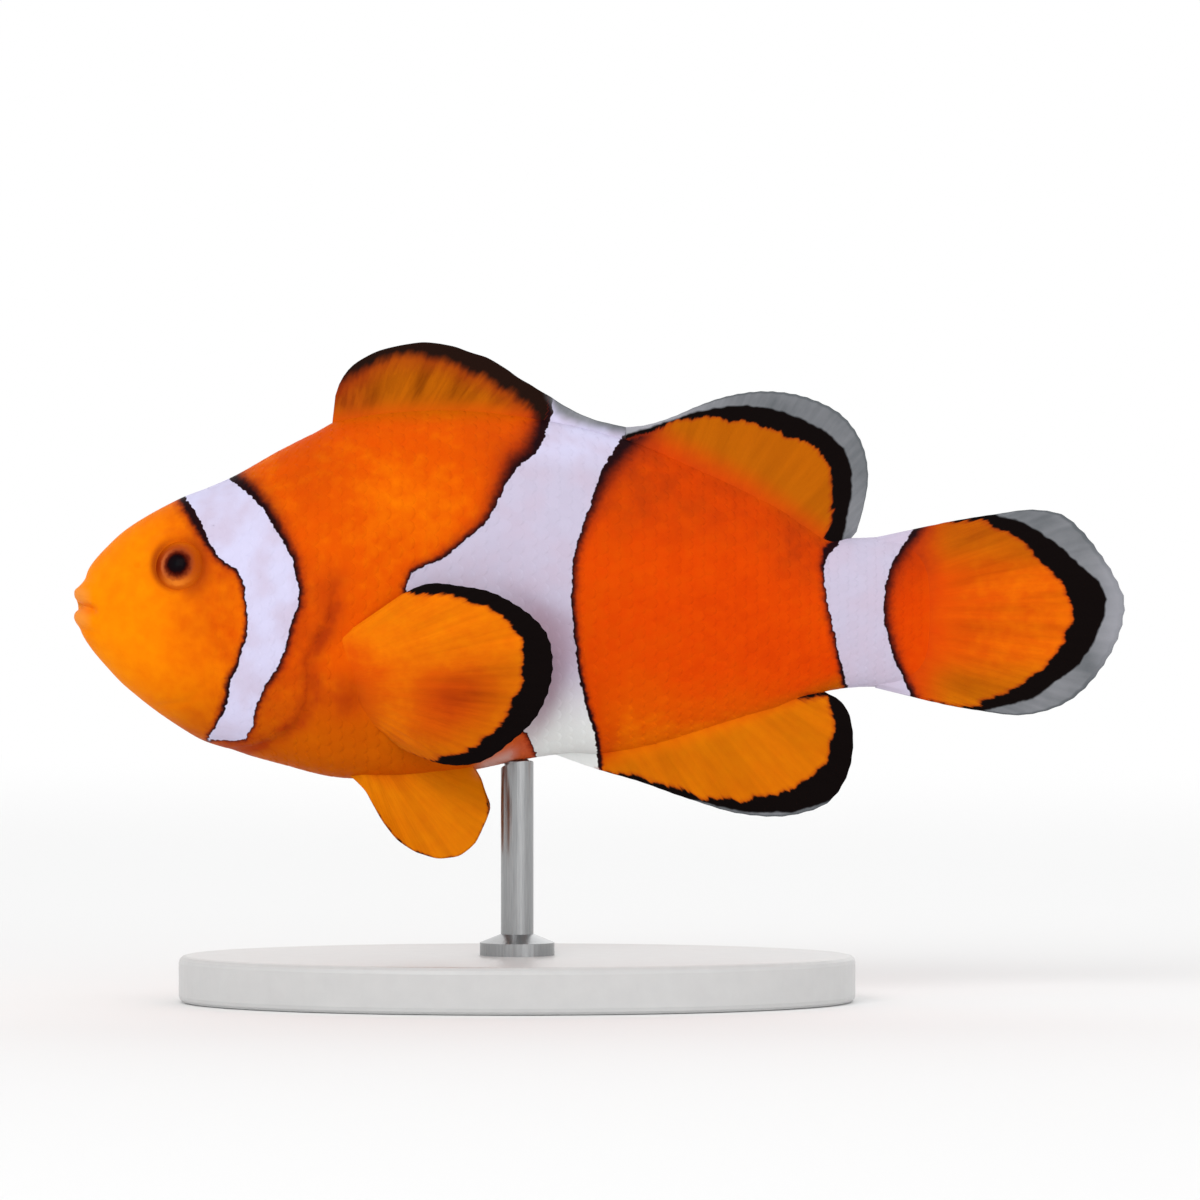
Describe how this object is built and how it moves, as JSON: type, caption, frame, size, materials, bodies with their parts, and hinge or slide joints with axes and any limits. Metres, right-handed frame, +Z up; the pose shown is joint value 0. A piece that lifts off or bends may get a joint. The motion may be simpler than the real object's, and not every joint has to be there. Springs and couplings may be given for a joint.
{
  "type": "clownfish model",
  "caption": "Life-size orange reef clownfish with white bands and black-edged fins, swimming level, held by a rod over a flat oval base.",
  "frame": {"origin": "centre of the underside of the stand's base, on the floor", "axes": "+Z is up; +X runs from the snout towards the tail, so the fish faces -X; its left side faces -Y"},
  "size_m": [0.0901, 0.036, 0.0565],
  "materials": {
    "skin": "satin scaled skin, orange with white bands edged in black",
    "fin": "thin rayed fin membrane, orange with a black margin",
    "eye": "wet, high gloss",
    "stand_lacquer": "satin pale grey lacquer",
    "stand_steel": "brushed"
  },
  "bodies": {
    "root": {"head": "skin", "lower_jaw": "skin", "gill_cover_left": "skin", "gill_cover_right": "skin", "trunk": "skin", "tail_stalk": "skin", "eye_left": "eye", "eye_right": "eye", "dorsal_fin_spiny": "fin", "dorsal_fin_soft": "fin", "anal_fin": "fin", "tail_fin": "fin", "pectoral_fin_left": "fin", "pectoral_fin_right": "fin", "pelvic_fin_left": "fin", "pelvic_fin_right": "fin", "stand_base": "stand_lacquer", "stand_rod": "stand_steel"}
  },
  "joints": []
}
